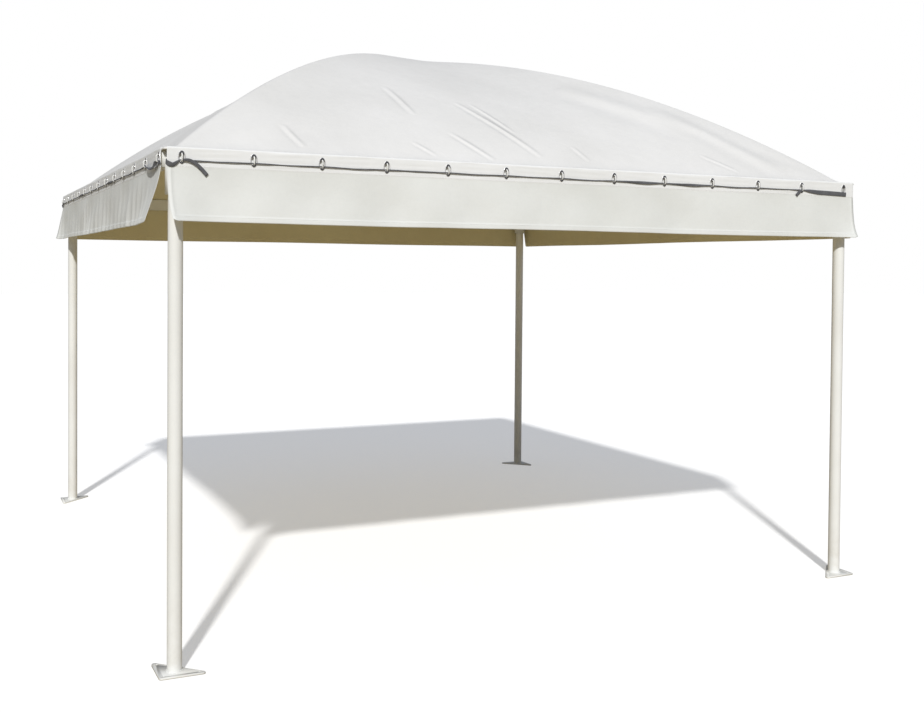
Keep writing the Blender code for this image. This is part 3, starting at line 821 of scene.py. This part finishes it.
def make_stitches(side, turns):
    """The sewing of one side: one row along each edge of the band, and one along the valance's hem."""
    out, drawn_in, low = valance_form(side, turns)
    left_end, right_end = CLOTH_ENDS[side]
    along = np.linspace(left_end + 0.006, right_end - 0.006, 400)
    bottom = low(along) + 0.021
    fall = (VALANCE_SEAM - bottom) / (VALANCE_SEAM - VALANCE_LOW)
    paths = [
        np.column_stack([along, np.full(400, -FRAME_HALF - 0.0048), np.full(400, 2.2330)]),
        np.column_stack([along, np.full(400, -FRAME_HALF + 0.0120), np.full(400, 2.3164)]),
        np.column_stack([along + drawn_in(along, fall), -FRAME_HALF - 0.0013 - out(along, fall), bottom]),
    ]
    rows = [grown("row", line_mesh(quarter(path, turns)), BEADS,
                  {"Pitch": 0.0085, "Length": 0.0062, "Thickness": 0.0010}, WHITE_THREAD) for path in paths]
    piece = link_object("stitches_" + side, join_meshes("stitches_" + side, [row.data for row in rows]))
    piece.data.materials.append(WHITE_THREAD)
    piece.data.shade_smooth()
    for row in rows:
        bpy.data.objects.remove(row, do_unlink=True)
    return piece


# The straps.

OUTSIDE = Vector((0.0, -1.0, 0.0))
PAST_END = Vector((-1.0, 0.0, 0.0))


def loft_strap(stations, turns, phase):
    """A strap through stations of place, facing, roll in degrees, width and thickness."""
    places = np.array([list(station[0]) for station in stations], float)
    facings = np.array([list(station[1]) for station in stations], float)
    sizes = np.array([[math.radians(station[2]), station[3], station[4]] for station in stations], float)
    spans = np.linalg.norm(np.diff(places, axis=0), axis=1)
    marks = np.concatenate([[0.0], np.cumsum(spans)])
    steps = np.linspace(0.0, marks[-1], max(8, int(marks[-1] / 0.006)))

    def smooth(values):
        slopes = np.gradient(values, marks, axis=0)
        found = []
        for place in steps:
            k = min(int(np.searchsorted(marks, place, side="right")) - 1, len(marks) - 2)
            run = marks[k + 1] - marks[k]
            t = (place - marks[k]) / run
            a, b = 2 * t ** 3 - 3 * t ** 2 + 1, t ** 3 - 2 * t ** 2 + t
            found.append(a * values[k] + (1 - a) * values[k + 1] + b * run * slopes[k]
                         + (t ** 3 - t ** 2) * run * slopes[k + 1])
        return np.array(found)

    centre, facing, size = smooth(places), smooth(facings), smooth(sizes)
    ahead = np.gradient(centre, axis=0)
    ahead /= np.linalg.norm(ahead, axis=1)[:, None]
    around = 12
    turn = np.linspace(0, 2 * np.pi, around, endpoint=False)
    rounded = lambda value: np.sign(value) * np.abs(value) ** 0.6
    rows, flats = [], []
    for k, place in enumerate(centre):
        out = facing[k] - ahead[k] * float(facing[k] @ ahead[k])
        out /= np.linalg.norm(out)
        up = np.cross(out, ahead[k])
        roll, width, thick = size[k]
        gathered = max(0.0, 1.0 - width / 0.016)
        ridge = 0.0007 * gathered * np.sin(3 * turn + 40 * steps[k] + phase)
        a = rounded(np.cos(turn)) * (width / 2 + ridge)
        b = rounded(np.sin(turn)) * (thick / 2 + ridge)
        wide = a * math.cos(roll) - b * math.sin(roll)
        deep = a * math.sin(roll) + b * math.cos(roll)
        rows.append(place + up * wide[:, None] + out * deep[:, None])
        flats.append(np.column_stack([np.full(around + 1, steps[k]), np.linspace(0, 0.05, around + 1)]))
    mesh = grid_mesh("strap", quarter(np.array(rows), turns), np.array(flats), closed=True)
    shape = bmesh.new()
    shape.from_mesh(mesh)
    shape.verts.ensure_lookup_table()
    last = (len(rows) - 1) * around
    shape.faces.new([shape.verts[k] for k in range(around)])
    shape.faces.new([shape.verts[last + k] for k in range(around)])
    bmesh.ops.recalc_face_normals(shape, faces=shape.faces)
    shape.to_mesh(mesh)
    shape.free()
    return mesh


STRAP_OUT = 0.0098
STRAP_LINE = LACE_HEIGHT - 0.0130
THIN = (0.0052, 0.0050)
FLAT = (0.0250, 0.0022)


def on_face(along, out, height):
    return (along, -FRAME_HALF - out, height)


def make_strap(side, turns):
    """One lacing strap: out from the corner, through every staple, with its two loose ends."""
    draw = np.random.default_rng(90 + turns)
    threaded = EYELETS[:-1] if side == "front" else EYELETS
    left_end = CLOTH_ENDS[side][0]
    edge = left_end - 0.0020
    stations = [
        ((-1.9800, -1.9790, STRAP_LINE - 0.006), PAST_END, 0, *FLAT),
        ((edge, -1.9905, STRAP_LINE - 0.008), PAST_END, 0, *FLAT),
        ((edge + 0.0005, -2.0050, STRAP_LINE - 0.012), (-0.8, -0.6, 0), 4, 0.021, 0.0026),
        (on_face(left_end + 0.008, 0.0105, STRAP_LINE - 0.018), OUTSIDE, 14, 0.022, 0.0034),
        (on_face(left_end + 0.022, 0.0110, STRAP_LINE - 0.022), OUTSIDE, 22, 0.020, 0.0036),
        (on_face(EYELETS[0] - 0.024, 0.0105, STRAP_LINE - 0.012), OUTSIDE, 8, 0.014, 0.0044),
        (on_face(EYELETS[0] - 0.008, STRAP_OUT, STRAP_LINE), OUTSIDE, 0, *THIN),
    ]
    opened = {"front": (7, 8), "left": (3, 7), "right": (2, 5, 9), "back": (1, 6, 10)}[side]
    for number, place in enumerate(threaded):
        stations.append((on_face(place + 0.008, STRAP_OUT, STRAP_LINE), OUTSIDE, 0, *THIN))
        if number + 1 < len(threaded):
            following = threaded[number + 1]
            if side == "left" and number == len(threaded) - 2:
                for share, roll, dip in ((0.2, 50, 0.006), (0.42, 100, 0.016), (0.65, 150, 0.020), (0.85, 180, 0.008)):
                    stations.append((on_face(place + EYELET_PITCH * share, 0.016, STRAP_LINE - dip), OUTSIDE, roll,
                                     0.024, 0.0032))
                stations.append((on_face(following - 0.008, STRAP_OUT, STRAP_LINE), OUTSIDE, 180, *THIN))
                continue
            dip = draw.uniform(0.0005, 0.0035)
            if number in opened:
                stations.append((on_face(place + EYELET_PITCH * 0.30, STRAP_OUT, STRAP_LINE - dip), OUTSIDE, 25,
                                 0.012, 0.0045))
                stations.append((on_face(place + EYELET_PITCH * 0.65, STRAP_OUT, STRAP_LINE - dip), OUTSIDE, -15,
                                 0.014, 0.0040))
            else:
                stations.append((on_face(place + EYELET_PITCH * 0.5, STRAP_OUT - 0.0015, STRAP_LINE - dip), OUTSIDE,
                                 draw.uniform(-20, 20), draw.uniform(0.0040, 0.0054), 0.0044))
            stations.append((on_face(following - 0.008, STRAP_OUT, STRAP_LINE), OUTSIDE, 0, *THIN))
    last = threaded[-1]
    if side == "front":
        stations += [
            (on_face(last + 0.050, 0.0095, STRAP_LINE - 0.003), OUTSIDE, 0, 0.016, 0.0040),
            (on_face(last + 0.110, 0.0085, STRAP_LINE - 0.008), OUTSIDE, 0, 0.0235, 0.0035),
            (on_face(last + 0.220, 0.0080, STRAP_LINE - 0.011), OUTSIDE, 0, 0.025, 0.0035),
            (on_face(EYELETS[-1] + 0.016, 0.0080, STRAP_LINE - 0.014), OUTSIDE, 0, 0.025, 0.0035),
        ]
    else:
        stations += [
            (on_face(last + 0.020, 0.0088, STRAP_LINE - 0.006), OUTSIDE, 180 if side == "left" else 0, 0.020, 0.0035),
            (on_face(last + 0.040, 0.0085, STRAP_LINE - 0.012), OUTSIDE, 180 if side == "left" else 0, 0.024, 0.0035),
        ]
    left_tail = [
        (on_face(EYELETS[0] + 0.006, STRAP_OUT + 0.004, STRAP_LINE + 0.001), OUTSIDE, 10, 0.010, 0.0040),
        (on_face(EYELETS[0] + 0.028, STRAP_OUT + 0.005, STRAP_LINE + 0.001), OUTSIDE, 10, 0.014, 0.0034),
        (on_face(EYELETS[0] + 0.060, STRAP_OUT + 0.004, STRAP_LINE - 0.014), OUTSIDE, 5, 0.015, 0.0030),
        (on_face(EYELETS[0] + 0.088, STRAP_OUT + 0.002, STRAP_LINE - 0.038), OUTSIDE, 0, 0.016, 0.0026),
        (on_face(EYELETS[0] + 0.110, STRAP_OUT, STRAP_LINE - 0.062), OUTSIDE, -5, 0.017, 0.0025),
    ]
    right_tail = [
        (on_face(last - 0.004, STRAP_OUT + 0.004, STRAP_LINE - 0.001), OUTSIDE, 0, 0.009, 0.0040),
        (on_face(last - 0.020, STRAP_OUT + 0.003, STRAP_LINE - 0.010), OUTSIDE, 5, 0.015, 0.0030),
        (on_face(last - 0.044, STRAP_OUT + 0.001, STRAP_LINE - 0.032), OUTSIDE, 8, 0.018, 0.0025),
    ]
    if side == "left":
        left_tail = left_tail[:2] + [(on_face(EYELETS[0] + 0.040, STRAP_OUT + 0.004, STRAP_LINE - 0.006), OUTSIDE, 5,
                                      0.015, 0.0030)]
    if side == "right":
        stations = [(on_face(EYELETS[0] - 0.004, 0.0015, STRAP_LINE + 0.004), OUTSIDE, 0, *THIN)] + stations[7:]
    phase = draw.uniform(0, 6.28)
    meshes = [loft_strap(path, turns, phase) for path in (stations, left_tail, right_tail)]
    piece = link_object("strap_" + side + "_webbing", join_meshes("strap_" + side, meshes))
    piece.data.materials.append(STRAP_GREY)
    piece.data.shade_smooth()
    return piece


# The steel frame.

def steel_copy(node):
    """A solid of the frame with its faces joined and its round parts smooth, in its paint."""
    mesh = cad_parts[node].data.copy()
    shape = bmesh.new()
    shape.from_mesh(mesh)
    bmesh.ops.remove_doubles(shape, verts=shape.verts, dist=0.00002)
    shape.to_mesh(mesh)
    shape.free()
    mesh.shade_smooth()
    mesh.set_sharp_from_angle(angle=math.radians(50))
    mesh.materials.clear()
    mesh.materials.append(WHITE_PAINT)
    return link_object(node + "_steel", mesh)


def make_post(corner, turns):
    heights = (POST_FOOT, 0.6, 1.2, 1.8, POST_TOP)
    path = quarter([(-POST_AXIS, -POST_AXIS, height) for height in heights], turns)
    piece = grown("post_" + corner + "_tube", line_mesh(path), TUBE, {"Radius": POST_RADIUS, "Sides": 48},
                  WHITE_PAINT)
    piece.data.set_sharp_from_angle(angle=math.radians(50))
    return piece


def make_rib(corner, turns):
    """Half an arch, as a smooth tube just under the cloth."""
    insets = np.concatenate([[RIB_START + 0.0005, RIB_START + 0.02], np.linspace(RIB_START + 0.06, RIB_END, 34)])
    step = 0.001
    slope = (roof_height(insets + step) - roof_height(insets - step)) / (2 * step)
    height = roof_height(insets) - RIB_DROP - RIB_RADIUS * np.sqrt(1 + slope ** 2)
    plan = -(FRAME_HALF - insets)
    path = quarter(np.column_stack([plan, plan, height]), turns)
    piece = grown("rib_" + corner + "_tube", line_mesh(path), TUBE, {"Radius": RIB_RADIUS, "Sides": 24},
                  WHITE_PAINT)
    piece.data.set_sharp_from_angle(angle=math.radians(50))
    return piece


def make_weld(corner, turns):
    """The weld round the foot of a post, as a ring of ripples."""
    angles = np.linspace(0, 2 * np.pi, 40, endpoint=False)
    ring = np.column_stack([-POST_AXIS + 0.0345 * np.cos(angles), -POST_AXIS + 0.0345 * np.sin(angles),
                            np.full(40, POST_FOOT + 0.0012)])
    return grown("weld_" + corner, line_mesh(quarter(ring, turns), closed=True), BEADS,
                 {"Pitch": 0.0036, "Length": 0.0080, "Thickness": 0.0070}, WHITE_PAINT)


# Putting it together.

BEAM_NAMES = ["beam_" + side for side in SIDES]

roof = make_roof()
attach(roof, "root")
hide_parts("roof_cover")

for turns, side in enumerate(SIDES):
    band = make_band(side, turns)
    valance = make_valance(side, turns)
    stitches = make_stitches(side, turns)
    eyelets, marks = make_eyelets(side, turns)
    strap = make_strap(side, turns)
    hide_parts("hem_band_" + side)
    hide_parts("valance_" + side)
    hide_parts("strap_" + side)
    for piece, slot in ((band, "white_cloth"), (valance, "white_cloth"), (stitches, "white_cloth"),
                        (eyelets, "white_paint"), (marks, "grey_webbing"), (strap, "grey_webbing")):
        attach(piece, "root")

for turns, corner in enumerate(CORNERS):
    for piece, node in ((make_post(corner, turns), "post_" + corner), (make_rib(corner, turns), "rib_" + corner),
                        (steel_copy("corner_joint_" + corner), "corner_joint_" + corner),
                        (steel_copy("foot_plate_" + corner), "foot_plate_" + corner)):
        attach(piece, "root")
        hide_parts(node)
    weld = make_weld(corner, turns)
    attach(weld, "root")

for node in BEAM_NAMES + ["crown_hub"]:
    piece = steel_copy(node)
    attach(piece, "root")
    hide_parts(node)


# Camera, floor and light.

PHOTO_WIDTH, PHOTO_HEIGHT = 924, 712
FOCAL_PIXELS = 1089.8
PHOTO_AXIS = (449.3, 289.7)
CAMERA_PLACE = (-2.904, -6.785, 1.807)
CAMERA_HEADING, CAMERA_PITCH, CAMERA_ROLL = 25.37, -1.234, 0.45
SUN_BEARING, SUN_HEIGHT = 25.0, 38.0


def make_camera():
    data = bpy.data.cameras.new("camera")
    data.sensor_width = 36.0
    data.lens = FOCAL_PIXELS / PHOTO_WIDTH * data.sensor_width
    data.shift_x = (PHOTO_WIDTH / 2 - PHOTO_AXIS[0]) / PHOTO_WIDTH
    data.shift_y = (PHOTO_AXIS[1] - PHOTO_HEIGHT / 2) / PHOTO_WIDTH
    heading, pitch, roll = (math.radians(v) for v in (CAMERA_HEADING, CAMERA_PITCH, CAMERA_ROLL))
    ahead = Vector((math.sin(heading) * math.cos(pitch), math.cos(heading) * math.cos(pitch), math.sin(pitch)))
    level = Vector((math.cos(heading), -math.sin(heading), 0.0))
    upright = level.cross(ahead)
    right = level * math.cos(roll) + upright * math.sin(roll)
    up = upright * math.cos(roll) - level * math.sin(roll)
    camera = bpy.data.objects.new("camera", data)
    turn = Matrix((right, up, -ahead)).transposed().to_4x4()
    camera.matrix_world = Matrix.Translation(CAMERA_PLACE) @ turn
    bpy.context.scene.collection.objects.link(camera)
    bpy.context.scene.camera = camera


def make_stage():
    """A plain pale floor, a soft sun from the front left and a pale room."""
    shape = bmesh.new()
    bmesh.ops.create_grid(shape, x_segments=2, y_segments=2, size=60.0)
    mesh = bpy.data.meshes.new("floor")
    shape.to_mesh(mesh)
    shape.free()
    mesh.transform(Matrix.Translation((0.0, 0.0, -0.0005)))
    finish = bpy.data.materials.new("pale_floor")
    finish.use_nodes = True
    tree = finish.node_tree
    tree.nodes.clear()
    seen = add(tree, "ShaderNodeLightPath").outputs["Is Camera Ray"]
    soil = add(tree, "ShaderNodeBsdfDiffuse", {"Color": (0.50, 0.44, 0.32, 1.0)})
    pale = add(tree, "ShaderNodeBsdfDiffuse", {"Color": (0.90, 0.90, 0.90, 1.0)})
    glow = add(tree, "ShaderNodeEmission", {"Color": (1.0, 1.0, 1.0, 1.0), "Strength": 0.32})
    lit = add(tree, "ShaderNodeAddShader", {0: pale.outputs[0], 1: glow.outputs[0]})
    both = add(tree, "ShaderNodeMixShader", {0: seen, 1: soil.outputs[0], 2: lit.outputs[0]})
    add(tree, "ShaderNodeOutputMaterial", {"Surface": both.outputs[0]})
    mesh.materials.append(finish)
    link_object("floor", mesh)
    sun = bpy.data.lights.new("sun", "SUN")
    sun.energy = 3.0
    sun.angle = math.radians(2.5)
    sun.color = (1.0, 0.99, 0.97)
    lamp = bpy.data.objects.new("sun", sun)
    bearing, height = math.radians(SUN_BEARING), math.radians(SUN_HEIGHT)
    towards = Vector((-math.sin(bearing) * math.cos(height), -math.cos(bearing) * math.cos(height), math.sin(height)))
    lamp.rotation_euler = towards.to_track_quat("Z", "Y").to_euler()
    bpy.context.scene.collection.objects.link(lamp)
    world = bpy.data.worlds.new("room")
    world.use_nodes = True
    tree = world.node_tree
    tree.nodes.clear()
    seen = add(tree, "ShaderNodeLightPath").outputs["Is Camera Ray"]
    rise = add(tree, "ShaderNodeSeparateXYZ", {"Vector": add(tree, "ShaderNodeTexCoord").outputs["Generated"]})
    sky = mixed(tree, spread(tree, rise.outputs["Z"], 0.0, 0.5), (0.45, 0.475, 0.52), (0.64, 0.69, 0.79))
    dim = add(tree, "ShaderNodeBackground", {"Color": sky, "Strength": 0.36})
    bright = add(tree, "ShaderNodeBackground", {"Color": (1.0, 1.0, 1.0, 1.0), "Strength": 1.0})
    both = add(tree, "ShaderNodeMixShader", {0: seen, 1: dim.outputs[0], 2: bright.outputs[0]})
    add(tree, "ShaderNodeOutputWorld", {"Surface": both.outputs[0]})
    bpy.context.scene.world = world
    bpy.context.scene.view_settings.view_transform = "Standard"


make_camera()
make_stage()
